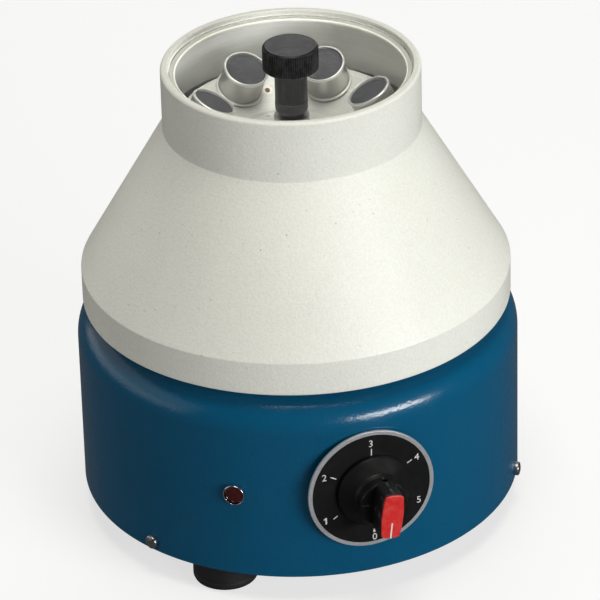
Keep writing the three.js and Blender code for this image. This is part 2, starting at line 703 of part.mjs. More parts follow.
const RIM_RADIUS = 11.3;
const RIM_HEIGHT = 1.6;
const CAP_RECESS = 1;
const CAP_LENGTH = 7;
const shieldBore = SHIELD_RADIUS - SHIELD_WALL;
const shieldProfile = [
  [0, -SHIELD_LENGTH],
  ...arcPoints(SHIELD_RADIUS - 6, 6 - SHIELD_LENGTH, 6, -90, 0, 2),
  [SHIELD_RADIUS, -COLLAR_DEPTH - COLLAR_HEIGHT],
  [COLLAR_RADIUS, -COLLAR_DEPTH - COLLAR_HEIGHT],
  [COLLAR_RADIUS, -COLLAR_DEPTH],
  [SHIELD_RADIUS, -COLLAR_DEPTH],
  [SHIELD_RADIUS, -RIM_HEIGHT],
  [RIM_RADIUS, -RIM_HEIGHT],
  [RIM_RADIUS, 0],
  [shieldBore, 0],
  [shieldBore, 6 - SHIELD_LENGTH],
  [shieldBore - 5, 2 - SHIELD_LENGTH],
  [0, 2 - SHIELD_LENGTH],
];
const capProfile = [
  [0, -CAP_RECESS - CAP_LENGTH],
  [shieldBore - GAP, -CAP_RECESS - CAP_LENGTH],
  [shieldBore - GAP, -CAP_RECESS],
  [0, -CAP_RECESS],
];
for (let i = 0; i < SHIELD_COUNT; i += 1) {
  const place = placedGroup(shieldFrame(i));
  add(`tube_shield_${i + 1}`, turned(shieldProfile, SHIELD_SIDES), 'aluminium', place);
  add(`tube_cap_${i + 1}`, turned(capProfile, SHIELD_SIDES), 'capBlack', place);
}

// ---------------------------------------------------------------- dial, knob and regulator

const dial = placedGroup(wallFrame(DIAL_AZIMUTH, DIAL_HEIGHT));
add('dial_plate', ring(DIAL_HOLE, DIAL_RADIUS, 2 * GAP, DIAL_FRONT, FINE), 'blackPlastic', dial);

const control = placedGroup(wallFrame(KNOB_AZIMUTH, DIAL_HEIGHT));
const BUSH_RADIUS = 4.9;
const BUSH_FRONT = 6;
const SPINDLE_RADIUS = 3;
const SPINDLE_FRONT = 14.5;
const REGULATOR_SIDE = 34;
const regulatorFront = -4.6;
const regulatorBack = -24;
const spindleBore = SPINDLE_RADIUS + GAP;
const spindleBack = regulatorBack + 6;
add('speed_regulator', join([
  cut(box(REGULATOR_SIDE, REGULATOR_SIDE, regulatorBack, regulatorFront), [
    rod(spindleBore + 1, spindleBack - 2, 0),
  ]),
  ring(spindleBore, BUSH_RADIUS, regulatorFront - 1, BUSH_FRONT, SMALL),
]), 'board', control);
add('regulator_spindle', rod(SPINDLE_RADIUS, spindleBack, SPINDLE_FRONT), 'steel', control);

// The knob: a sloping skirt, a hub, and a bar grip with bowed sides. A thin red plate covers the
// grip's front.
const knobTurn = new THREE.Group();
knobTurn.rotation.z = -radians(KNOB_REST_ANGLE);
control.add(knobTurn);
const knobBack = DIAL_FRONT + 2 * GAP;
const knobBody = turned([
  [0, knobBack],
  [KNOB_SKIRT_RADIUS, knobBack],
  [KNOB_SKIRT_RADIUS, knobBack + 1.8],
  [KNOB_SKIRT_RADIUS - 0.8, knobBack + 2.6],
  [KNOB_HUB_RADIUS + 0.8, knobBack + 7.4],
  [KNOB_HUB_RADIUS, knobBack + 8.4],
  [KNOB_HUB_RADIUS, KNOB_HUB_FRONT - 0.8],
  [KNOB_HUB_RADIUS - 0.8, KNOB_HUB_FRONT],
  [0, KNOB_HUB_FRONT],
], FINE);

// The grip's outline, seen from the front, drawn smaller by an inset.
function gripShape(inset) {
  const x = GRIP_END_WIDTH - inset;
  const y = GRIP_END - inset;
  const shape = new THREE.Shape();
  shape.moveTo(-x, -y);
  shape.quadraticCurveTo(0, -y - GRIP_BULGE, x, -y);
  shape.quadraticCurveTo(x + GRIP_BULGE, 0, x, y);
  shape.quadraticCurveTo(0, y + GRIP_BULGE, -x, y);
  shape.quadraticCurveTo(-x - GRIP_BULGE, 0, -x, -y);
  return shape;
}

const grip = extruded(gripShape(0), KNOB_HUB_FRONT - 4, KNOB_FRONT);
add('speed_knob', cut(join([knobBody, grip]), [
  rod(BUSH_RADIUS + 1, knobBack - 1, BUSH_FRONT + 1),
  rod(spindleBore, 0, SPINDLE_FRONT + 1),
]), 'blackPlastic', knobTurn);

const pointerBack = KNOB_FRONT + GAP;
const pointer = extruded(gripShape(GAP / 2), pointerBack, pointerBack + POINTER_THICKNESS);
add('knob_pointer', pointer, 'redPlastic', knobTurn);

// ---------------------------------------------------------------- pilot lamp

const lamp = placedGroup(wallFrame(LAMP_AZIMUTH, LAMP_HEIGHT));
const LAMP_BORE = 4.3;
const LAMP_RADIUS = 5.4;
add('lamp_bezel', turned([
  [LAMP_BORE, -14],
  [4.95, -14],
  [4.95, GAP],
  [LAMP_RADIUS, GAP],
  [LAMP_RADIUS, 2.5],
  [LAMP_RADIUS - 0.3, 2.8],
  [LAMP_BORE + 0.5, 2.8],
  [LAMP_BORE + 0.5, 1],
  [LAMP_BORE, 1],
]), 'chrome', lamp);
add('lamp_lens', turned([
  [0, -12],
  [LAMP_BORE - GAP, -12],
  [LAMP_BORE - GAP, 1.3],
  [LAMP_BORE + 0.2, 1.3],
  [LAMP_BORE + 0.2, 2.2],
  [2.6, 3],
  [0, 3.2],
], SMALL), 'lens', lamp);

// ---------------------------------------------------------------- cable gland

const CORD_BORE = 3.6;
const GLAND_THREAD = 7.5;
const glandFlange = 6;
const gland = placedGroup(wallFrame(180, GLAND_HEIGHT));
add('cable_gland', join([
  ring(CORD_BORE, GLAND_THREAD, -9, glandFlange + 4, MEDIUM),
  ring(CORD_BORE + 0.5, 10.5, GAP, glandFlange, 6),
]), 'blackPlastic', gland);
add('gland_nut', turned([
  [GLAND_THREAD + GAP, glandFlange + GAP],
  [9.8, glandFlange + GAP],
  [9.8, GLAND_REACH - 6],
  [7.2, GLAND_REACH - 0.8],
  [6.4, GLAND_REACH],
  [CORD_BORE, GLAND_REACH],
  [CORD_BORE, glandFlange + 4 + GAP],
  [GLAND_THREAD + GAP, glandFlange + 4 + GAP],
]), 'blackPlastic', gland);

export default centrifuge;
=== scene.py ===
"""Small bench-top laboratory centrifuge: the looks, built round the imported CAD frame.

Profiles and outlines are in millimetres. Everything that reaches Blender is in metres.
"""
import json
import math

import bmesh
import bpy
from mathutils import Matrix, Vector


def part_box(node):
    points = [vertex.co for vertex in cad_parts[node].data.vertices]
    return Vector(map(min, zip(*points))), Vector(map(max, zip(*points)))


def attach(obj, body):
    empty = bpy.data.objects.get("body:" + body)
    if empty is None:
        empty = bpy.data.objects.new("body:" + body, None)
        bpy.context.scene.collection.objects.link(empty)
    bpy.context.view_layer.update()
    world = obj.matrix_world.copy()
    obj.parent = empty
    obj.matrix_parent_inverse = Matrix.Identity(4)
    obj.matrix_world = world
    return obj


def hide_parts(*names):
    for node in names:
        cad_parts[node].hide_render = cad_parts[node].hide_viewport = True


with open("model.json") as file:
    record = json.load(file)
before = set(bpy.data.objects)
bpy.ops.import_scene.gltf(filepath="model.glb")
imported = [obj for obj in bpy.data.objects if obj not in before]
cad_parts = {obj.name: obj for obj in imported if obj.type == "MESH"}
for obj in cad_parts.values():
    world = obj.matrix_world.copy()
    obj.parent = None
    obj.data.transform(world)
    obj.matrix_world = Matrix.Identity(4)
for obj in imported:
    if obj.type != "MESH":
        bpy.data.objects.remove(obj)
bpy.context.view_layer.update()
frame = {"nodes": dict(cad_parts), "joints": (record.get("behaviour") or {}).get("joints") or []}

MM = 0.001
TURN = 2 * math.pi

# ---------------------------------------------------------------- dimensions, from the frame


def low_mm(node):
    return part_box(node)[0] / MM


def high_mm(node):
    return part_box(node)[1] / MM


DRUM_RADIUS = high_mm("drum").x
DRUM_TOP = high_mm("drum").z
DRUM_BOTTOM = low_mm("drum").z
BOWL_BOTTOM = low_mm("bowl").z
SKIRT_RADIUS = high_mm("bowl").x
NECK_TOP = high_mm("bowl").z
LID_RADIUS = high_mm("lid_disc").x
LID_BOTTOM = low_mm("lid_disc").z
LID_TOP = high_mm("lid_disc").z
LID_KNOB_TOP = high_mm("lid_knob").z
LID_BOSS_BOTTOM = low_mm("lid_boss").z
NUT_TOP = high_mm("rotor_nut").z
NUT_BOTTOM = low_mm("rotor_nut").z
DISH_RADIUS = high_mm("rotor_dish").x
DISH_TOP = high_mm("rotor_dish").z
CRADLE_RADIUS = high_mm("rotor_cradle").x
CRADLE_TOP = high_mm("rotor_cradle").z
HUB_TOP = high_mm("rotor_hub").z
HUB_BOTTOM = low_mm("rotor_hub").z

SHEET = 2.0
INNER = DRUM_RADIUS - SHEET  # the inside of the drum's wall
SHOULDER = 18.0
SKIRT_HEIGHT = 17.7
NECK_RADIUS = 63.5
NECK_HEIGHT = 31.6
SEAT_RADIUS = 56.3
LID_KNOB_RADIUS = 13.75
BOSS_RADIUS = 8.0
NUT_RADIUS = 8.1
SHIELD_COUNT = 6
SHIELD_RADIUS = 10.8
SHIELD_BORE = 10.0
SHIELD_GAP = 0.3
SHIELD_LENGTH = 100.0
SHIELD_TILT = math.radians(26.24)
MOUTH_CIRCLE = 37.45
MOUTH_HEIGHT = 220.5
MOUTH_RADIUS = 11.3
MOUTH_ROLL = 1.6
COLLAR_RADIUS = 12.0
COLLAR_DEPTH = 14.0
DISH_FLAT_RADIUS = 29.5
DISH_SHEET = 1.5
HUB_RADIUS = 12.0
HUB_BOSS_RADIUS = 8.8
DRUM_SCREWS = ("drum_screw_left", "drum_screw_right", "drum_screw_rear")
FEET = ("foot_front", "foot_right", "foot_rear")


def middle_mm(node):
    return (low_mm(node) + high_mm(node)) / 2


def joint(name):
    return next(j for j in frame["joints"] if j["name"] == name)


# ---------------------------------------------------------------- places


def wall_place(azimuth, height):
    """X to a viewer's right, Y up, Z straight out of the drum's wall, origin on the wall."""
    a = math.radians(azimuth)
    right = Vector((math.cos(a), math.sin(a), 0))
    out = Vector((math.sin(a), -math.cos(a), 0))
    place = Matrix((right, Vector((0, 0, 1)), out)).transposed().to_4x4()
    place.translation = (out * DRUM_RADIUS + Vector((0, 0, height))) * MM
    return place


def wall_azimuth(node):
    """The azimuth of a round piece on the drum's wall, from the middle of its box."""
    middle = middle_mm(node)
    return math.degrees(math.atan2(middle.x, -middle.y))


def shield_azimuth(index):
    """The azimuth of a shield, from its lift joint's axis, which leans towards the rotor's axis."""
    x, y, _ = joint(f"shield_{index + 1}_lift")["axis"]
    return math.atan2(-x, -y)


def shield_place(index):
    """Z up a shield's axis, origin at the middle of its mouth."""
    mouth = Matrix.Translation(Vector((0, MOUTH_CIRCLE, MOUTH_HEIGHT)) * MM)
    spin = Matrix.Rotation(-shield_azimuth(index), 4, "Z")
    return spin @ mouth @ Matrix.Rotation(SHIELD_TILT, 4, "X")


def upright_place(node):
    """Z up the middle of an upright round piece, origin on the bench."""
    middle = middle_mm(node)
    return Matrix.Translation(Vector((middle.x, middle.y, 0)) * MM)


# ---------------------------------------------------------------- mesh helpers


SMOOTH_ANGLE = math.radians(38)
STRAIGHT = math.radians(179)
ON_AXIS = 1e-6


def publish(mesh, name, look, body, nodes=(), place=None):
    """Makes an object of a mesh, shades it, and puts it on a body in place of CAD nodes."""
    for polygon in mesh.polygons:
        polygon.use_smooth = True
    mesh.set_sharp_from_angle(angle=SMOOTH_ANGLE)
    mesh = applied(mesh, "WEIGHTED_NORMAL", keep_sharp=True)
    mesh.name = name
    obj = bpy.data.objects.new(name, mesh)
    bpy.context.scene.collection.objects.link(obj)
    for one in look if isinstance(look, (list, tuple)) else [look]:
        obj.data.materials.append(one)
    if place is not None:
        obj.matrix_world = place
    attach(obj, body)
    if nodes:
        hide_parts(*nodes)
    return obj


def rounded(profile, step=math.radians(15)):
    """Rounds the corners of a profile of (radius, height[, fillet[, material]]) points.

    Returns its (radius, height, material of the stretch that starts there) points, and whether
    it is a closed ring. A profile that starts and ends on the axis is open.
    """
    closed = not (profile[0][0] == 0 and profile[-1][0] == 0)
    made = []
    count = len(profile)
    for i, corner in enumerate(profile):
        here = Vector(corner[:2])
        fillet = corner[2] if len(corner) > 2 else 0
        mat = corner[3] if len(corner) > 3 else 0
        if fillet <= 0 or (not closed and i in (0, count - 1)):
            made.append((here.x, here.y, mat))
            continue
        before = Vector(profile[(i - 1) % count][:2]) - here
        after = Vector(profile[(i + 1) % count][:2]) - here
        opening = before.angle(after)
        if opening > STRAIGHT:
            made.append((here.x, here.y, mat))
            continue
        reach = fillet / math.tan(opening / 2)
        start = here + before.normalized() * reach
        centre = here + (before.normalized() + after.normalized()).normalized() * (
            fillet / math.sin(opening / 2))
        arm = start - centre
        end = here + after.normalized() * reach
        sweep = arm.angle_signed(end - centre)
        steps = max(2, math.ceil(abs(sweep) / step))
        for k in range(steps + 1):
            turn = Matrix.Rotation(-sweep * k / steps, 2)
            point = centre + turn @ arm
            made.append((point.x, point.y, mat))
    return made, closed


def lathe(profile, segments=160, wave=None, step=math.radians(15)):
    """A mesh turned about Z. wave(angle, radius, height) may change a point's radius."""
    points, closed = rounded(profile, step)
    bm = bmesh.new()
    rings = []
    for radius, height, _ in points:
        if radius < ON_AXIS:
            rings.append([bm.verts.new((0, 0, height * MM))])
            continue
        row = []
        for k in range(segments):
            a = TURN * k / segments
            r = wave(a, radius, height) if wave else radius
            row.append(bm.verts.new((r * math.cos(a) * MM, r * math.sin(a) * MM, height * MM)))
        rings.append(row)
    pairs = list(zip(range(len(rings)), range(1, len(rings))))
    if closed:
        pairs.append((len(rings) - 1, 0))
    for i, j in pairs:
        lower, upper = rings[i], rings[j]
        for k in range(segments):
            n = (k + 1) % segments
            if len(lower) == 1 and len(upper) == 1:
                continue
            if len(lower) == 1:
                corners = (lower[0], upper[n], upper[k])
            elif len(upper) == 1:
                corners = (lower[k], lower[n], upper[0])
            else:
                corners = (lower[k], lower[n], upper[n], upper[k])
            bm.faces.new(corners).material_index = points[i][2]
    mesh = bpy.data.meshes.new("lathe")
    bm.to_mesh(mesh)
    bm.free()
    return mesh


def placed(mesh, place):
    mesh.transform(place)
    return mesh


def prism(outline, bottom, top):
    """A straight solid of a closed (x, y) outline in mm, run anticlockwise."""
    bm = bmesh.new()
    lower = [bm.verts.new((x * MM, y * MM, bottom * MM)) for x, y in outline]
    upper = [bm.verts.new((x * MM, y * MM, top * MM)) for x, y in outline]
    bm.faces.new(list(reversed(lower)))
    bm.faces.new(upper)
    count = len(outline)
    for i in range(count):
        j = (i + 1) % count
        bm.faces.new((lower[i], lower[j], upper[j], upper[i]))
    mesh = bpy.data.meshes.new("prism")
    bm.to_mesh(mesh)
    bm.free()
    return mesh


def slab(width, depth, bottom, top):
    w, d = width / 2, depth / 2
    return prism([(-w, -d), (w, -d), (w, d), (-w, d)], bottom, top)


def disc_outline(radius, sides):
    return [(radius * math.cos(TURN * k / sides), radius * math.sin(TURN * k / sides))
            for k in range(sides)]


def evaluated(obj):
    """An object's final mesh. The object itself goes."""
    bpy.context.scene.collection.objects.link(obj)
    depsgraph = bpy.context.evaluated_depsgraph_get()
    made = bpy.data.meshes.new_from_object(obj.evaluated_get(depsgraph), depsgraph=depsgraph)
    bpy.data.objects.remove(obj)
    return made


def applied(mesh, kind, **settings):
    """The mesh with one modifier applied."""
    obj = bpy.data.objects.new("work", mesh)
    modifier = obj.modifiers.new(kind, kind)
    for key, value in settings.items():
        setattr(modifier, key, value)
    return evaluated(obj)


def bevelled(mesh, width, segments=3, angle=25):
    return applied(mesh, "BEVEL", width=width * MM, segments=segments, limit_method="ANGLE",
                   angle_limit=math.radians(angle), harden_normals=False)


def combined(mesh, other, operation="DIFFERENCE", place=None):
    """mesh cut by, or joined with, another mesh. Both are closed."""
    tool = bpy.data.objects.new("tool", other)
    bpy.context.scene.collection.objects.link(tool)
    if place is not None:
        tool.matrix_world = place
    bpy.context.view_layer.update()
    made = applied(mesh, "BOOLEAN", operation=operation, solver="EXACT", object=tool)
    bpy.data.objects.remove(tool)
    return made


def merged(*meshes):
    """Several meshes as one, without a boolean."""
    bm = bmesh.new()
    for mesh in meshes:
        bm.from_mesh(mesh)
    made = bpy.data.meshes.new("merged")
    bm.to_mesh(made)
    bm.free()
    return made


# ---------------------------------------------------------------- materials


# the colour sockets of a Mix node, whose names are shared with its other data types
MIX_FACTOR, MIX_FIRST, MIX_SECOND, MIX_RESULT = 0, 6, 7, 2


class Look:
    """A procedural material. Lengths in its nodes are in metres, in the piece's own space."""

    def __init__(self, name, color, roughness, metallic=0.0, **sockets):
        self.material = bpy.data.materials.new(name)
        self.material.use_nodes = True
        self.tree = self.material.node_tree
        self.shader = self.tree.nodes["Principled BSDF"]
        self.shader.inputs["Base Color"].default_value = (*color, 1)
        self.shader.inputs["Roughness"].default_value = roughness
        self.shader.inputs["Metallic"].default_value = metallic
        for key, value in sockets.items():
            self.shader.inputs[key.replace("_", " ")].default_value = value
        self.color = color
        self.place = self.add("ShaderNodeTexCoord").outputs["Object"]
        self.height = None

    def add(self, kind, **inputs):
        node = self.tree.nodes.new(kind)
        for key, value in inputs.items():
            self.feed(node.inputs[key.replace("_", " ")], value)
        return node

    def feed(self, socket, value):
        if isinstance(value, bpy.types.NodeSocket):
            self.tree.links.new(value, socket)
        else:
            socket.default_value = value

    def scaled(self, scale):
        node = self.add("ShaderNodeMapping", Vector=self.place)
        node.inputs["Scale"].default_value = scale
        return node.outputs["Vector"]

    def noise(self, scale, detail=3.0, distortion=0.0, vector=None):
        node = self.add("ShaderNodeTexNoise", Vector=vector or self.place, Scale=scale,
                        Detail=detail, Distortion=distortion)
        return node.outputs["Fac"]

    def cells(self, scale):
        node = self.add("ShaderNodeTexVoronoi", Vector=self.place, Scale=scale)
        node.feature = "SMOOTH_F1"
        return node.outputs["Distance"]

    def operated(self, kind, operation, first, second=None):
        """A Math or Vector Math node's result."""
        node = self.tree.nodes.new(kind)
        node.operation = operation
        self.feed(node.inputs[0], first)
        if second is not None:
            self.feed(node.inputs[1], second)
        vector = kind == "ShaderNodeVectorMath" and operation == "MULTIPLY"
        return node.outputs["Vector" if vector else "Value"]

    def math(self, operation, first, second=0.0):
        return self.operated("ShaderNodeMath", operation, first, second)

    def multiplied(self, first, second):
        return self.math("MULTIPLY", first, second)

    def spread(self, value, low, high, to_low=0.0, to_high=1.0):
        node = self.add("ShaderNodeMapRange", Value=value)
        for key, number in (("From Min", low), ("From Max", high), ("To Min", to_low),
                            ("To Max", to_high)):
            node.inputs[key].default_value = number
        return node.outputs["Result"]

    def axis(self, name):
        node = self.add("ShaderNodeSeparateXYZ", Vector=self.place)
        return node.outputs[name]

    def flat(self):
        """The place with its height left out."""
        return self.operated("ShaderNodeVectorMath", "MULTIPLY", self.place, (1, 1, 0))

    def radius(self):
        """Distance from the piece's own Z axis."""
        return self.operated("ShaderNodeVectorMath", "LENGTH", self.flat())

    def edges(self, high):
        """1 on worn outer edges, 0 elsewhere. Flat surfaces have a pointiness of about 0.5."""
        node = self.tree.nodes.new("ShaderNodeNewGeometry")
        return self.spread(node.outputs["Pointiness"], 0.52, high)

    def tint(self, factor, other):
        """Mixes another colour over what the base colour is now."""
        socket = self.shader.inputs["Base Color"]
        node = self.tree.nodes.new("ShaderNodeMix")
        node.data_type = "RGBA"
        self.feed(node.inputs[MIX_FACTOR], factor)
        self.feed(node.inputs[MIX_FIRST],
                  socket.links[0].from_socket if socket.is_linked else (*self.color, 1))
        self.feed(node.inputs[MIX_SECOND], (*other, 1))
        self.feed(socket, node.outputs[MIX_RESULT])

    def drilled(self, x, y, depth):
        """A small brown pit in a bright ring, at (x, y) in mm. depth says how plain it shows."""
        away = self.operated("ShaderNodeVectorMath", "DISTANCE", self.flat(), (x * MM, y * MM, 0))
        self.tint(self.spread(away, 2.8 * MM, 2.1 * MM, 0, 0.8 * depth), (0.92, 0.9, 0.85))
        self.tint(self.spread(away, 1.5 * MM, 1.1 * MM, 0, depth), (0.16, 0.09, 0.04))

    def rough(self, value, low, high, start=0.3, end=0.7):
        """Roughness from low to high as a noise goes from start to end."""
        self.feed(self.shader.inputs["Roughness"], self.spread(value, start, end, low, high))

    def bump(self, height, distance):
        """Adds relief; distance is in millimetres."""
        node = self.add("ShaderNodeBump", Height=height, Strength=1.0)
        node.inputs["Distance"].default_value = distance * MM
        if self.height is not None:
            self.feed(node.inputs["Normal"], self.height)
        self.height = node.outputs["Normal"]
        self.feed(self.shader.inputs["Normal"], self.height)


def varied(color, share):
    return tuple(min(1.0, c * share) for c in color)


def paint(name, color, roughness, chip, grain, relief, speckle, gloss=0.5):
    """Stoved paint with a fine leathery grain, dark specks and small chips on the edges."""
    look = Look(name, color, roughness, Specular_IOR_Level=gloss)
    look.tint(look.spread(look.noise(14), 0.35, 0.65), varied(color, 0.95))
    look.tint(look.spread(look.noise(grain, 2), 0.4, 0.62, 0, speckle), varied(color, 0.6))
    chips = look.multiplied(look.edges(0.56), look.spread(look.noise(330, 2), 0.6, 0.65))
    look.tint(chips, chip)
    specks = look.spread(look.noise(620, 1), 0.765, 0.79)
    look.tint(look.multiplied(specks, 0.6), varied(color, 0.35))
    look.rough(look.noise(60), roughness - 0.03, roughness + 0.05)
    look.bump(look.cells(grain), relief)
    look.bump(look.noise(grain * 0.6, 2), relief)
    return look.material


def brushed(name, color, roughness, stretch, relief=0.02, metallic=1.0, lines=1.0):
    """Metal with fine lines. stretch squeezes the noise across the lines."""
    look = Look(name, color, roughness, metallic)
    grain = look.noise(lines * 900, 3, vector=look.scaled(stretch))
    look.tint(look.spread(grain, 0.35, 0.65), varied(color, 0.82))
    look.tint(look.spread(look.noise(40), 0.45, 0.75, 0, 0.35), varied(color, 0.7))
    look.rough(grain, roughness - 0.08, roughness + 0.1)
    look.bump(grain, relief)
    return look.material


def spun(name, color, roughness, pitch=0.5, relief=0.02, metallic=1.0, line=0.8, marks=()):
    """Metal turned or spun about the piece's own Z axis: fine rings, and drilled marks."""
    look = Look(name, color, roughness, metallic)
    rings = look.add("ShaderNodeCombineXYZ", X=look.radius(), Y=look.axis("Z"))
    grain = look.noise(1000 / pitch, 3, vector=rings.outputs["Vector"])
    look.tint(look.spread(grain, 0.35, 0.65), varied(color, line))
    look.tint(look.spread(look.noise(55), 0.5, 0.8, 0, 0.4), varied(color, 0.72))
    for mark in marks:
        look.drilled(*mark)
    look.rough(grain, roughness - 0.07, roughness + 0.1)
    look.bump(grain, relief)
    return look.material


def moulded(name, color, roughness, grain=700, relief=0.015, wear=None, metallic=0.0, clouds=0.6,
            gloss=0.5):
    """Moulded plastic or rubber: fine grain, faint clouding, paler rubbed edges."""
    look = Look(name, color, roughness, metallic, Specular_IOR_Level=gloss)
    look.tint(look.spread(look.noise(70), 0.4, 0.7, 0, clouds), varied(color, 1.35))
    if wear:
        rubbed = look.multiplied(look.edges(0.58), look.spread(look.noise(260), 0.4, 0.6))
        look.tint(look.multiplied(rubbed, 0.7), wear)
    look.rough(look.noise(160), roughness - 0.06, roughness + 0.08)
    look.bump(look.noise(grain, 3), relief)
    return look.material


def scuffed(name, color, roughness):
    """Dark plastic whose face is scuffed all over in short strokes."""
    look = Look(name, color, roughness)
    strokes = look.noise(260, 4, 1.2, look.scaled((1, 3.5, 1)))
    look.tint(look.spread(strokes, 0.48, 0.72, 0, 0.8), varied(color, 2.6))
    look.tint(look.spread(look.noise(90, 3, 0.8), 0.42, 0.6, 0, 0.5), varied(color, 0.6))
    look.rough(strokes, roughness - 0.1, roughness + 0.15)
    look.bump(strokes, 0.04)
    return look.material


BLUE = (0.0004, 0.083, 0.176)
CREAM = (0.84, 0.84, 0.765)
BLACK = (0.008, 0.008, 0.009)
BALANCE_MARKS = ((-11.7, 39.1, 1), (-11.7, 22.1, 0.4))  # where the dish is drilled, and how plain

blue_paint = paint("blue_paint", BLUE, 0.19, (0.16, 0.2, 0.22), 900, 0.06, 0.1, gloss=0.4)
cream_paint = paint("cream_paint", CREAM, 0.4, (0.16, 0.15, 0.12), 900, 0.09, 0.15)
bare_metal = spun("bare_metal", (0.82, 0.82, 0.78), 0.5, 1.2, 0.006, 0.15, 0.94)
# painted shade: the lid's seat ledge is coloured darker than the bowl's other bare metal, for the
# light the clear lid would hold back
seat_shade_metal = spun("seat_shade_metal", (0.45, 0.45, 0.41), 0.5, 0.8, 0.01, 0.2, 0.9)
dish_metal = spun("dish_metal", (0.8, 0.8, 0.76), 0.45, 0.7, 0.02, 0.45, marks=BALANCE_MARKS)
pan_metal = spun("pan_metal", (0.9, 0.9, 0.86), 0.45, 0.7, 0.02, 0.45)
turned_metal = spun("turned_metal", (0.55, 0.55, 0.54), 0.32, 0.4)
shield_metal = brushed("shield_metal", (0.42, 0.42, 0.4), 0.36, (1, 1, 9), 0.012, 0.7)
# painted highlight: the shields' rolled mouths and collars are the tubes' own sheet, coloured far
# paler than their bodies
rim_highlight_metal = spun("rim_highlight_metal", (0.85, 0.85, 0.82), 0.3, 0.3, 0.01, 0.6)
steel = spun("steel", (0.5, 0.5, 0.5), 0.3, 0.3)
zinc = brushed("zinc", (0.42, 0.43, 0.44), 0.45, (1, 1, 1), 0.02, 1.0, 0.4)
black_plastic = moulded("black_plastic", BLACK, 0.4, 900, 0.01, (0.12, 0.12, 0.12), gloss=0.3)
knob_plastic = moulded("knob_plastic", (0.005, 0.005, 0.005), 0.38, 800, 0.012,
                       (0.08, 0.08, 0.08), gloss=0.25)
# scuffed plastic on the lid knob's top; on the rotor nut's top chamfer the same pale grey is a
# painted highlight
scuffed_top_and_highlight = scuffed("scuffed_top_and_highlight", (0.062, 0.062, 0.068), 0.5)
dial_black = moulded("dial_black", (0.003, 0.003, 0.003), 0.45, 1500, 0.006, gloss=0.35)
cap_black = scuffed("cap_black", (0.042, 0.042, 0.05), 0.5)
nut_black = moulded("nut_black", (0.024, 0.024, 0.027), 0.42, 500, 0.02, (0.2, 0.2, 0.2))
rubber = moulded("rubber", (0.01, 0.01, 0.01), 0.55, 500, 0.03)
red_plastic = moulded("red_plastic", (0.58, 0.014, 0.012), 0.36, 900, 0.006, (0.8, 0.2, 0.18),
                      clouds=0.15, gloss=0.35)
white_print = moulded("white_print", (0.62, 0.62, 0.6), 0.5, 1500, 0.004)
chrome = moulded("chrome", (0.75, 0.75, 0.77), 0.12, 200, 0.004, None, 1.0)
silver_edge = brushed("silver_edge", (0.58, 0.59, 0.61), 0.34, (1, 1, 1), 0.006, 0.5)
copper = brushed("copper", (0.5, 0.2, 0.09), 0.4, (1, 1, 12), 0.05)
carbon = moulded("carbon", (0.02, 0.02, 0.02), 0.6, 600, 0.03)
board = moulded("board", (0.05, 0.12, 0.07), 0.5, 400, 0.02)
lens_red = moulded("lens_red", (0.045, 0.006, 0.005), 0.12, 300, 0.01)


LAMINATION = 0.6


def stacked_look():
    """Thin sheets of steel stacked up Z."""
    look = Look("laminations", (0.2, 0.2, 0.21), 0.45, 0.8)
    sheets = look.math("SINE", look.multiplied(look.axis("Z"), TURN / (LAMINATION * MM)))
    look.tint(look.spread(sheets, 0.2, 1.0), (0.1, 0.1, 0.1))
    look.rough(look.noise(200), 0.4, 0.55)
    look.bump(sheets, 0.08)
    return look.material


def clear_look():
    """Clear acrylic with faint scuffs in its polish."""
    look = Look("acrylic", (0.985, 0.99, 0.98), 0.0, Transmission_Weight=1.0, IOR=1.49)
    scuffs = look.noise(300, 4, 0.6, look.scaled((1, 7, 1)))
    look.rough(scuffs, 0.0, 0.12, 0.62, 0.75)
    look.bump(look.noise(25), 0.02)
    return look.material


laminations = stacked_look()
acrylic = clear_look()


# ---------------------------------------------------------------- drum, base and feet


DRUM_BORE = 14


def make_drum():
    """A pressed drum, open below, with a rounded shoulder and a hole for the motor's shaft."""
    mesh = lathe([
        (INNER, DRUM_BOTTOM, 0.4),
        (DRUM_RADIUS, DRUM_BOTTOM, 0.9),
        (DRUM_RADIUS, DRUM_TOP, SHOULDER),
        (DRUM_BORE, DRUM_TOP, 0.5),
        (DRUM_BORE, DRUM_TOP - SHEET, 0.4),
        (INNER, DRUM_TOP - SHEET, SHOULDER - SHEET),
    ], 256, step=math.radians(4))
    publish(mesh, "drum_shell", blue_paint, "housing", ["drum"])


PAN_SHEET = 1.6
VENT_COUNT = 8
VENT_RADIUS = 4
VENT_CIRCLE = 60


def make_base():
    """A shallow pan with a ring of round vents."""
    bottom, top = low_mm("base_plate").z, high_mm("base_plate").z
    radius = high_mm("base_plate").x
    mesh = lathe([
        (0, bottom),
        (radius, bottom, 1.6),
        (radius, top, 0.5),
        (radius - PAN_SHEET, top, 0.5),
        (radius - PAN_SHEET, bottom + PAN_SHEET, 1),
        (0, bottom + PAN_SHEET),
    ], 200)
    out = Matrix.Translation((VENT_CIRCLE * MM, 0, 0))
    for i in range(VENT_COUNT):
        vent = prism(disc_outline(VENT_RADIUS, 48), bottom - 3, bottom + 5)
        place = Matrix.Rotation(i * TURN / VENT_COUNT, 4, "Z") @ out
        mesh = combined(mesh, vent, place=place)
    publish(mesh, "base_pan", zinc, "housing", ["base_plate"])


FOOT_RADIUS = 16.2


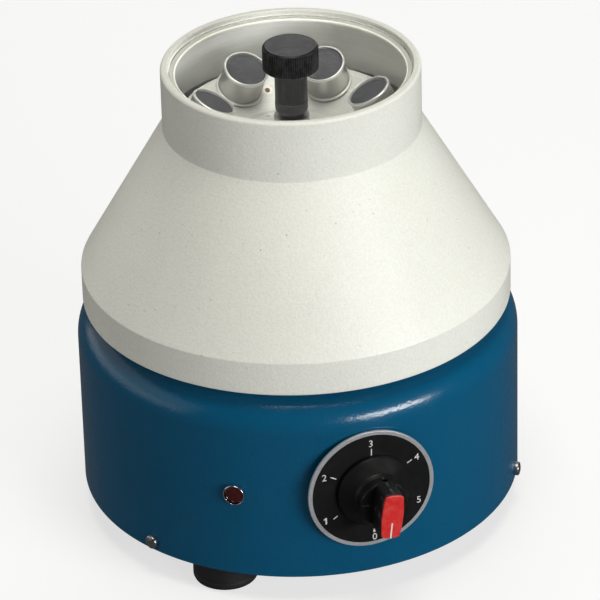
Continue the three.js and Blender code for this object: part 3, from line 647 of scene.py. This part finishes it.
def make_foot(node):
    """A push-in rubber foot with a moulded line round it and a recessed sole."""
    top, radius = high_mm(node).z, FOOT_RADIUS
    mesh = lathe([
        (0, 1.4),
        (4.5, 1.4, 0.4),
        (5.6, 0, 0.4),
        (radius - 2.1, 0, 1),
        (radius - 0.7, 0.7, 1),
        (radius, 2.2, 1),
        (radius, 3.9, 0.15),
        (radius - 0.35, 4.2, 0.1),
        (radius - 0.35, 4.5, 0.1),
        (radius, 4.8, 0.15),
        (radius, 12.8, 0.6),
        (15, 13.9, 0.3),
        (5, 13.9, 0.2),
        (5, 16.1, 0.2),
        (6.8, 16.1, 0.4),
        (4, top, 0.5),
        (0, top),
    ], 128)
    publish(mesh, node + "_rubber", rubber, "housing", [node], upright_place(node))


SCREW_SHANK = 1.9
SCREW_HEAD = 3.5
SCREW_SLOT = 1.0


def make_drum_screw(node, slot_angle):
    """A slotted cheese-head screw through the drum's wall, with a domed face."""
    head = lathe([
        (0, -7),
        (SCREW_SHANK, -7, 0.4),
        (SCREW_SHANK, 0.1),
        (SCREW_HEAD, 0.1, 0.15),
        (SCREW_HEAD, 2.1, 0.9),
        (1.6, 2.6, 2),
        (0, 2.7),
    ], 64, step=math.radians(8))
    mesh = combined(head, slab(SCREW_SLOT, 10, 1.5, 4))
    turn = Matrix.Rotation(math.radians(slot_angle), 4, "Z")
    place = wall_place(wall_azimuth(node), middle_mm(node).z) @ turn
    publish(placed(mesh, place), node + "_head", steel, "housing", [node])


# ---------------------------------------------------------------- bowl


OPENING = 80  # radius of the opening under the bowl
RECESS = LID_RADIUS + 0.55
SEAT_DEPTH = 1.7
BARE, SEAT_SHADE = 1, 2  # the bowl's looks after its paint; the seat's ledge is darker bare metal as painted shade under the lid


def make_bowl():
    """A skirt, a cone and a neck, painted outside and bare inside, with a seat for the lid whose
    ledge is coloured darker as painted shade.
    """
    skirt_top = BOWL_BOTTOM + SKIRT_HEIGHT
    crease = NECK_TOP - NECK_HEIGHT
    slope = math.atan2(SKIRT_RADIUS - NECK_RADIUS, crease - skirt_top)
    drop = SHEET * math.tan(slope / 2)
    seat = LID_BOTTOM - 0.3
    mesh = lathe([
        (OPENING, BOWL_BOTTOM, 0.4),
        (SKIRT_RADIUS, BOWL_BOTTOM, 1.2),
        (SKIRT_RADIUS, skirt_top, 1.6),
        (NECK_RADIUS, crease, 1.6),
        (NECK_RADIUS, NECK_TOP, 1.5),
        (RECESS, NECK_TOP, 0.7),
        # the ledge under the lid's edge is coloured darker as painted shade
        (RECESS, seat, 0.25, SEAT_SHADE),
        (SEAT_RADIUS, seat, 0.6),
        (SEAT_RADIUS, seat - SEAT_DEPTH, 0.6, BARE),
        (NECK_RADIUS - SHEET, seat - SEAT_DEPTH, 0.4, BARE),
        (NECK_RADIUS - SHEET, crease - drop, 1, BARE),
        (SKIRT_RADIUS - SHEET, skirt_top - drop, 1, BARE),
        (SKIRT_RADIUS - SHEET, BOWL_BOTTOM + SHEET, 0.8, BARE),
        (OPENING, BOWL_BOTTOM + SHEET, 0.4, BARE),
    ], 256, step=math.radians(10))
    publish(mesh, "guard_bowl", [cream_paint, bare_metal, seat_shade_metal], "housing", ["bowl"])


def make_spacer():
    low, high = low_mm("spacer_ring"), high_mm("spacer_ring")
    bore = OPENING + 1
    mesh = lathe([
        (bore, low.z, 0.4),
        (high.x, low.z, 0.4),
        (high.x, high.z, 0.4),
        (bore, high.z, 0.4),
    ], 160)
    publish(mesh, "spacer_band", rubber, "housing", ["spacer_ring"])


def make_chamber_pan():
    low, high = low_mm("chamber_floor"), high_mm("chamber_floor")
    bore = 12.4
    mesh = lathe([
        (bore, low.z, 0.3),
        (high.x, low.z, 1.6),
        (high.x, high.z, 0.4),
        (high.x - PAN_SHEET, high.z, 0.4),
        (high.x - PAN_SHEET, low.z + PAN_SHEET, 1.2),
        (bore, low.z + PAN_SHEET, 0.3),
    ], 200)
    publish(mesh, "chamber_pan", pan_metal, "housing", ["chamber_floor"])


# ---------------------------------------------------------------- lid


KNURLS = 76
KNURL_DEPTH = 0.38


def knurl(angle, radius, height):
    """Fine upright ribs on the lid knob's side."""
    if radius < LID_KNOB_RADIUS - 0.1:
        return radius
    rib = abs((angle * KNURLS / TURN) % 1 - 0.5) * 2
    return radius - KNURL_DEPTH * rib ** 1.5


LID_HOLE = 3.4


def make_lid():
    """A clear disc, with a knurled knob above it and a plain boss below it."""
    disc = lathe([
        (LID_HOLE, LID_BOTTOM, 0.1),
        (LID_RADIUS, LID_BOTTOM, 0.35),
        (LID_RADIUS, LID_TOP, 0.35),
        (LID_HOLE, LID_TOP, 0.1),
    ], 256)
    window = publish(disc, "lid_window", acrylic, "lid", ["lid_disc"])
    window.visible_shadow = False  # light reaches the rotor straight through it
    bottom = LID_TOP + 0.05
    knob = lathe([
        (0, bottom),
        (LID_KNOB_RADIUS - 0.6, bottom),
        (LID_KNOB_RADIUS, bottom + 0.5),
        (LID_KNOB_RADIUS, LID_KNOB_TOP - 1.4),
        (LID_KNOB_RADIUS - 0.45, LID_KNOB_TOP - 0.6),
        (LID_KNOB_RADIUS - 1.3, LID_KNOB_TOP - 0.1, 0.2, 1),
        (LID_KNOB_RADIUS - 1.6, LID_KNOB_TOP, 0.1, 1),
        (LID_KNOB_RADIUS - 2.1, LID_KNOB_TOP - 0.2, 0.2, 1),
        (0, LID_KNOB_TOP - 0.12),
    ], KNURLS * 8, knurl)
    publish(knob, "lid_knob_cap", [knob_plastic, scuffed_top_and_highlight], "lid", ["lid_knob"])
    boss = lathe([
        (0, LID_BOSS_BOTTOM),
        (BOSS_RADIUS, LID_BOSS_BOTTOM, 0.4),
        (BOSS_RADIUS, LID_BOTTOM - 0.1, 0.2),
        (3, LID_BOTTOM - 0.1),
        (3, LID_TOP),
        (0, LID_TOP),
    ], 96)
    publish(boss, "lid_boss_body", nut_black, "lid", ["lid_boss"])


# ---------------------------------------------------------------- rotor


def cone_profile(outer, top, hub_hole):
    """A spun dish whose cone rises outwards, square to the shields."""
    slope = math.tan(SHIELD_TILT)
    flat = top - (outer - DISH_FLAT_RADIUS) * slope
    down = DISH_SHEET / math.cos(SHIELD_TILT)
    return [
        (hub_hole, flat - DISH_SHEET, 0.2),
        (DISH_FLAT_RADIUS + 0.4, flat - DISH_SHEET, 2),
        (outer, top - down, 0.6),
        (outer, top, 0.6),
        (DISH_FLAT_RADIUS, flat, 2),
        (hub_hole, flat, 0.2),
    ]


def make_dish(name, node, outer, top, hub_hole):
    """A dish with a tilted hole for each shield."""
    mesh = lathe(cone_profile(outer, top, hub_hole), 192)
    for i in range(SHIELD_COUNT):
        cutter = prism(disc_outline(SHIELD_RADIUS + SHIELD_GAP, 64), -90, 6)
        mesh = combined(mesh, cutter, place=shield_place(i))
    publish(mesh, name, dish_metal, "rotor", [node])


HUB_BORE = 4.3
HUB_FLANGE_RADIUS = HUB_RADIUS + 6
HUB_FLANGE = 4.7
HUB_BOSS = 12


def make_hub_and_nut():
    step, flange_top = HUB_TOP - HUB_BOSS, HUB_BOTTOM + HUB_FLANGE
    hub = lathe([
        (HUB_BORE, HUB_BOTTOM, 0.3),
        (HUB_FLANGE_RADIUS, HUB_BOTTOM, 0.6),
        (HUB_FLANGE_RADIUS, flange_top, 0.6),
        (HUB_RADIUS, flange_top, 0.4),
        (HUB_RADIUS, step, 0.6),
        (HUB_BOSS_RADIUS, step, 0.2),
        (HUB_BOSS_RADIUS, HUB_TOP, 0.5),
        (HUB_BORE, HUB_TOP, 0.3),
    ], 96)
    publish(hub, "rotor_hub_body", turned_metal, "rotor", ["rotor_hub"])
    nut = lathe([
        (0, NUT_BOTTOM),
        (5.4, NUT_BOTTOM, 0.4),
        (NUT_RADIUS, NUT_BOTTOM + 3, 2.6),
        # the top chamfer takes the pale top colour as a painted highlight
        (NUT_RADIUS, NUT_TOP - 0.6, 0.2, 1),
        (NUT_RADIUS - 0.7, NUT_TOP, 0.2),
        (0, NUT_TOP),
    ], 96)
    publish(nut, "rotor_nut_body", [nut_black, scuffed_top_and_highlight], "rotor", ["rotor_nut"])


def make_shield(index):
    """A tube with a collar and a rolled mouth, both coloured paler than the tube as a painted
    highlight, and the cap that closes it.
    """
    place = shield_place(index)
    body = f"shield_{index + 1}"
    bottom = -SHIELD_LENGTH
    collar = -COLLAR_DEPTH
    shield = lathe([
        (0, bottom),
        (SHIELD_RADIUS, bottom, 6),
        (SHIELD_RADIUS, collar - 1.2, 0.2, 1),
        (COLLAR_RADIUS, collar - 1.2, 0.55, 1),
        (COLLAR_RADIUS, collar, 0.55, 1),
        (SHIELD_RADIUS, collar, 0.3),
        (SHIELD_RADIUS, -MOUTH_ROLL, 0.2, 1),
        (MOUTH_RADIUS, -MOUTH_ROLL, 0.7, 1),
        (MOUTH_RADIUS, 0, 0.75, 1),
        (SHIELD_BORE + 0.25, 0, 0.3, 1),
        (SHIELD_BORE, -1.4, 0.2),
        (SHIELD_BORE, bottom + 2, 5),
        (0, bottom + 2),
    ], 96)
    publish(shield, f"shield_tube_{index + 1}", [shield_metal, rim_highlight_metal], body,
            [f"tube_shield_{index + 1}"], place)
    cap = lathe([
        (0, -8),
        (SHIELD_BORE - 0.3, -8, 0.4),
        (SHIELD_BORE - 0.1, -1, 0.35),
        (SHIELD_BORE - 1.1, -1, 0.2),
        (SHIELD_BORE - 1.5, -1.15, 0.1),
        (0, -1.1),
    ], 96)
    publish(cap, f"shield_cap_{index + 1}", cap_black, body,
            [f"tube_cap_{index + 1}"], place)


# ---------------------------------------------------------------- dial and knob


DIAL_AZIMUTH = wall_azimuth("dial_plate")
DIAL_HEIGHT = joint("knob_turn")["pos_m"][2] / MM
KNOB_AXIS = joint("knob_turn")["axis"]
KNOB_AZIMUTH = math.degrees(math.atan2(-KNOB_AXIS[0], KNOB_AXIS[1]))
KNOB_REST = math.radians(joint("knob_turn")["range_deg"][0])
DIAL_RADIUS = (high_mm("dial_plate").z - low_mm("dial_plate").z) / 2
DIAL_FACE = 2.0
PRINT = 0.04
NUMBER_HEIGHT = 5.2
# each number's place on the dial, and its tick's angle and inner and outer radius
NUMBERS = {
    "0": ((1.3, -27.5), 272.6, (22.9, 24.9)),
    "1": ((-23.2, -13.5), 213.8, (21.0, 23.6)),
    "2": ((-23.8, 11.2), 152.3, (20.0, 23.3)),
    "3": ((0.1, 25.5), 89.0, (18.9, 22.4)),
    "4": ((23.4, 13.3), 30.2, (21.4, 24.2)),
    "5": ((24.2, -11.3), None, None),
}
# the one has a flag, which the built-in letters leave off. A figure's height is about 0.72 of
# the height of its line
ONE = [(-0.15, -0.5), (0.07, -0.5), (0.07, 0.5), (-0.12, 0.5), (-0.38, 0.3), (-0.38, 0.16),
       (-0.15, 0.28)]
ONE_HEIGHT = 0.72 * NUMBER_HEIGHT


def figure(text, x, y):
    """One printed number, upright, as a thin solid."""
    if text == "1":
        outline = [(x + px * ONE_HEIGHT, y + py * ONE_HEIGHT) for px, py in ONE]
        return prism(outline, DIAL_FACE, DIAL_FACE + PRINT)
    curve = bpy.data.curves.new("figure", "FONT")
    curve.body = text
    curve.size = NUMBER_HEIGHT * MM
    curve.align_x = "CENTER"
    curve.align_y = "CENTER"
    curve.extrude = PRINT * MM / 2
    curve.resolution_u = 6
    mesh = evaluated(bpy.data.objects.new("figure", curve))
    corners = [Vector(v.co) for v in mesh.vertices]
    centre = (Vector(map(min, *corners)) + Vector(map(max, *corners))) / 2
    mesh.transform(Matrix.Translation(Vector((x, y, DIAL_FACE + PRINT / 2)) * MM - centre))
    return mesh


# half widths at the inner and the outer end
TICK_HALF = (0.26, 0.26)
TRIANGLE_HALF = (0.1, 0.7)


def tick(angle, inner, outer, pointed):
    """A short line towards a number. The zero has a small triangle instead."""
    a = math.radians(angle)
    along = Vector((math.cos(a), math.sin(a)))
    side = Vector((-along.y, along.x))
    start, end = along * inner, along * outer
    near, far = (side * half for half in (TRIANGLE_HALF if pointed else TICK_HALF))
    outline = [start - near, end - far, end + far, start + near]
    return prism([tuple(p) for p in outline], DIAL_FACE, DIAL_FACE + PRINT)


DIAL_BACK = 0.6
DIAL_BORE = 6.4
DIAL_EDGE = 2.0


def make_dial():
    """A black plate with a bright edge, and its printed numbers."""
    place = wall_place(DIAL_AZIMUTH, DIAL_HEIGHT)
    plate = lathe([
        (DIAL_BORE, DIAL_BACK, 0.1),
        (DIAL_RADIUS, DIAL_BACK, 0.2, 1),
        (DIAL_RADIUS, DIAL_FACE, 0.25, 1),
        (DIAL_RADIUS - DIAL_EDGE, DIAL_FACE, 0.1),
        (DIAL_BORE, DIAL_FACE, 0.1),
    ], 192)
    publish(placed(plate, place), "dial_face", [dial_black, silver_edge], "housing",
            ["dial_plate"])
    marks = []
    for text, ((x, y), angle, reach) in NUMBERS.items():
        marks.append(figure(text, x, y))
        if reach:
            marks.append(tick(angle, *reach, text == "0"))
    publish(placed(merged(*marks), place), "dial_marks", white_print, "housing", ())


def grip_outline(inset, steps=10):
    """The grip seen from the front: a bar with bowed sides and round ends."""
    x, y, bulge = 4.7 - inset, 11 - inset, 1.9
    corners = [(-x, -y), (x, -y), (x, y), (-x, y)]
    controls = [(0, -y - bulge), (x + bulge, 0), (0, y + bulge), (-x - bulge, 0)]
    points = []
    for k, (ax, ay) in enumerate(corners):
        (bx, by), (cx, cy) = controls[k], corners[(k + 1) % 4]
        for n in range(steps):
            t = n / steps
            p, q, r = (1 - t) ** 2, 2 * t * (1 - t), t * t
            points.append((p * ax + q * bx + r * cx, p * ay + q * by + r * cy))
    return points


def knob_part(node, reach):
    """How far a piece of the knob stands out of the drum's wall, in mm."""
    inverse = wall_place(KNOB_AZIMUTH, DIAL_HEIGHT).inverted()
    return reach((inverse @ v.co).z for v in frame["nodes"][node].data.vertices) / MM


def make_knob():
    """A skirt, a hub with a grub screw's hole, and a bar grip with a red plate on its front."""
    place = wall_place(KNOB_AZIMUTH, DIAL_HEIGHT) @ Matrix.Rotation(KNOB_REST, 4, "Z")
    back, front = knob_part("speed_knob", min), knob_part("speed_knob", max)
    hub_front = back + 14.8
    body = lathe([
        (0, back + 4),
        (10, back + 4, 0.5),
        (12, back, 0.3),
        (18.7, back, 0.4),
        (18.7, back + 2.2, 0.7),
        (12.6, back + 7.6, 1.6),
        (12, back + 9.5, 1),
        (12, hub_front, 0.9),
        (0, hub_front),
    ], 160, step=math.radians(10))
    grip = bevelled(prism(grip_outline(0), hub_front - 3, front), 0.7, 4, 30)
    knob = combined(body, grip, "UNION")
    hole = lathe([(0, -3.5), (1.4, -3.5), (1.4, -0.5), (1.9, 0.1), (1.9, 3), (0, 3)], 40)
    turn = Matrix.Translation(Vector((0, 11.95, back + 11.9)) * MM) @ Matrix.Rotation(
        math.radians(-90), 4, "X")
    knob = combined(knob, hole, place=turn)
    publish(placed(knob, place), "speed_knob_body", knob_plastic, "speed_control",
            ["speed_knob"])
    low, high = (knob_part("knob_pointer", reach) for reach in (min, max))
    red = bevelled(prism(grip_outline(0.15), low - 0.25, high), 0.5, 3, 30)
    publish(placed(red, place), "pointer_face", red_plastic, "speed_control",
            ["knob_pointer"])
    line = prism([(-0.45, -11.6), (0.45, -11.6), (0.28, -3.2), (-0.28, -3.2)],
                 high - 0.1, high + PRINT)
    publish(placed(line, place), "pointer_line", white_print, "speed_control", ())


# ---------------------------------------------------------------- lamp and gland


LAMP_AZIMUTH = wall_azimuth("lamp_bezel")
LAMP_HEIGHT = middle_mm("lamp_bezel").z
FACETS = 8


def facet(angle, radius, height):
    """The flats on the lens."""
    half = TURN / FACETS / 2
    part = (angle % (TURN / FACETS)) - half
    return radius * math.cos(half) / math.cos(part)


def make_lamp():
    place = wall_place(LAMP_AZIMUTH, LAMP_HEIGHT)
    bezel = lathe([
        (4.3, -14, 0.2),
        (4.95, -14, 0.2),
        (4.95, 0.15, 0.1),
        (5.4, 0.15, 0.2),
        (5.4, 2.8, 0.35),
        (4.85, 2.8, 0.15),
        (4.75, 1, 0.2),
        (4.3, 1, 0.1),
    ], 96)
    publish(placed(bezel, place), "lamp_ring", chrome, "housing", ["lamp_bezel"])
    lens = lathe([
        (0, -12),
        (4, -12),
        (4, 1.2),
        (4.5, 1.4),
        (4.5, 2.2),
        (3.2, 2.9),
        (1.3, 3.15),
        (0, 3.15),
    ], 64, facet)
    publish(placed(lens, place), "lamp_window", lens_red, "housing", ["lamp_lens"])


GLAND_BORE = 3.6
GLAND_NUT_RADIUS = 9.8
RIBS = 18


def grip_rib(angle, radius, height):
    """Grooves between the ribs on the gland nut's side."""
    if radius < GLAND_NUT_RADIUS - 0.1:
        return radius
    return radius - 0.5 * (abs((angle * RIBS / TURN) % 1 - 0.5) * 2) ** 3


def make_gland():
    """A hexagon body screwed into the back of the drum, and its ribbed nut."""
    place = wall_place(180, middle_mm("cable_gland").z)
    hexagon = bevelled(prism(disc_outline(10.4, 6), 0.2, 6), 0.6, 3)
    tube = lathe([
        (GLAND_BORE, -9, 0.2),
        (7.5, -9, 0.3),
        (7.5, 10, 0.3),
        (GLAND_BORE, 10, 0.2),
    ], 64)
    body = combined(hexagon, prism(disc_outline(GLAND_BORE, 48), -12, 12))
    body = combined(body, tube, "UNION")
    publish(placed(body, place), "gland_body", black_plastic, "housing", ["cable_gland"])
    nut = lathe([
        (7.8, 6.2, 0.3),
        (GLAND_NUT_RADIUS, 6.2, 0.2),
        (GLAND_NUT_RADIUS, 15.8, 0.1),
        (9.4, 16.6, 0.3),
        (7.3, 21.2, 0.6),
        (6.4, 22, 0.4),
        (GLAND_BORE, 22, 0.5),
        (GLAND_BORE, 10.4, 0.2),
        (7.8, 10.4, 0.2),
    ], RIBS * 8, grip_rib)
    publish(placed(nut, place), "gland_cap", black_plastic, "housing", ["gland_nut"])


# ---------------------------------------------------------------- what stays as CAD


CAD_LOOKS = {
    "copper": ("field_coil_right", "field_coil_left", "armature_winding", "commutator"),
    "laminations": ("stator_core", "armature_core"),
    "carbon": ("brush_front", "brush_rear"),
    "board": ("speed_regulator",),
    "rubber": ("motor_mount_1", "motor_mount_2", "motor_mount_3", "shaft_seal"),
    "steel": ("bowl_screw_1", "bowl_screw_2", "bowl_screw_3", "bearing_upper", "bearing_lower",
              "motor_shaft", "regulator_spindle"),
    "turned_metal": ("motor_bracket_upper", "motor_bracket_lower"),
    "zinc": ("motor_can",),
}


def finish_cad_nodes():
    for look, nodes in CAD_LOOKS.items():
        for node in nodes:
            data = frame["nodes"][node].data
            data.materials.clear()
            data.materials.append(bpy.data.materials[look])


# ---------------------------------------------------------------- stage, lights and camera


FLOOR_SPAN = 24000
FLOOR_THICK = 4


def make_stage():
    """A faintly glowing pale floor, which only the camera sees, and a duller one that throws
    light back up at the object."""
    for name, grey, glow, drop in (("floor", 0.35, 0.68, 0.3), ("bounce", 0.45, 0, 0.2)):
        color = (grey, grey, grey)
        look = Look(name + "_look", color, 0.6, Emission_Color=(1, 1, 1, 1),
                    Emission_Strength=glow)
        look.tint(look.spread(look.noise(3), 0.4, 0.6, 0, 0.3), varied(color, 0.98))
        mesh = slab(FLOOR_SPAN, FLOOR_SPAN, -FLOOR_THICK - drop, -drop)
        sheet = bpy.data.objects.new(name, mesh)
        sheet.data.materials.append(look.material)
        sheet.visible_glossy = False
        sheet.visible_diffuse = name == "bounce"
        sheet.visible_camera = sheet.visible_shadow = name == "floor"
        bpy.context.scene.collection.objects.link(sheet)


LIGHT_AIM = Vector((0, 0, 0.13))
LIGHT_DISTANCE = 1.8
WORLD_STRENGTH = 0.08
COOL, WARM, WHITE = (0.98, 0.99, 1), (1, 0.985, 0.92), (1, 1, 1)


def softbox(name, azimuth, elevation, size, power, color):
    """A flat light that faces the object. The azimuth runs from -Y towards +X."""
    a, e = math.radians(azimuth), math.radians(elevation)
    away = Vector((math.sin(a) * math.cos(e), -math.cos(a) * math.cos(e), math.sin(e)))
    light = bpy.data.lights.new(name, "AREA")
    light.shape = "RECTANGLE"
    light.size, light.size_y = size
    light.energy = power
    light.color = color
    obj = bpy.data.objects.new(name, light)
    obj.location = LIGHT_AIM + away * LIGHT_DISTANCE
    obj.rotation_mode = "QUATERNION"
    obj.rotation_quaternion = (-away).to_track_quat("-Z", "Y")
    bpy.context.scene.collection.objects.link(obj)


def make_lights():
    world = bpy.data.worlds.new("studio")
    world.use_nodes = True
    background = world.node_tree.nodes["Background"]
    background.inputs["Color"].default_value = (1, 1, 1, 1)
    background.inputs["Strength"].default_value = WORLD_STRENGTH
    bpy.context.scene.world = world
    bpy.context.scene.view_settings.view_transform = "Standard"
    softbox("key", 45, 12, (1.2, 0.14), 23, COOL)
    softbox("top", 12, 80, (0.9, 0.9), 17, WARM)
    softbox("rim", -98, 4, (3, 0.45), 3.6, (0.96, 0.98, 1))
    softbox("left", -96, 22, (3, 0.9), 5, WARM)
    softbox("back", 180, 60, (1.8, 0.5), 5, WHITE)
    softbox("rear", 170, 10, (1.6, 0.4), 4, WHITE)


CAMERA_PLACE = (-0.00319, -1.98034, 1.22852)
CAMERA_DOWN = 29.513  # this and the next two in degrees
CAMERA_YAW = 0.1358
CAMERA_ROLL = -1.555
CAMERA_LENS = 273.44


def make_camera():
    camera = bpy.data.cameras.new("camera")
    camera.lens = CAMERA_LENS
    camera.sensor_width = 36
    camera.clip_start, camera.clip_end = 0.1, 50
    obj = bpy.data.objects.new("camera", camera)
    down, yaw, roll = (math.radians(a) for a in (CAMERA_DOWN, CAMERA_YAW, CAMERA_ROLL))
    ahead = Vector((math.sin(yaw) * math.cos(down), math.cos(yaw) * math.cos(down),
                    -math.sin(down)))
    flat = ahead.cross(Vector((0, 0, 1))).normalized()
    rise = flat.cross(ahead)
    right = flat * math.cos(roll) + rise * math.sin(roll)
    up = rise * math.cos(roll) - flat * math.sin(roll)
    turn = Matrix((right, up, -ahead)).transposed().to_4x4()
    obj.matrix_world = Matrix.Translation(CAMERA_PLACE) @ turn
    bpy.context.scene.collection.objects.link(obj)
    bpy.context.scene.camera = obj


# ---------------------------------------------------------------- build


make_camera()
make_stage()
make_lights()
make_drum()
make_base()
for foot in FEET:
    make_foot(foot)
for screw_index, screw in enumerate(DRUM_SCREWS):
    make_drum_screw(screw, 20 * screw_index - 45)
make_bowl()
make_spacer()
make_chamber_pan()
make_lid()
make_dish("rotor_dish_shell", "rotor_dish", DISH_RADIUS, DISH_TOP, HUB_BOSS_RADIUS + 0.3)
make_dish("rotor_cradle_shell", "rotor_cradle", CRADLE_RADIUS, CRADLE_TOP, HUB_RADIUS + 0.3)
make_hub_and_nut()
for shield_index in range(SHIELD_COUNT):
    make_shield(shield_index)
make_dial()
make_knob()
make_lamp()
make_gland()
finish_cad_nodes()
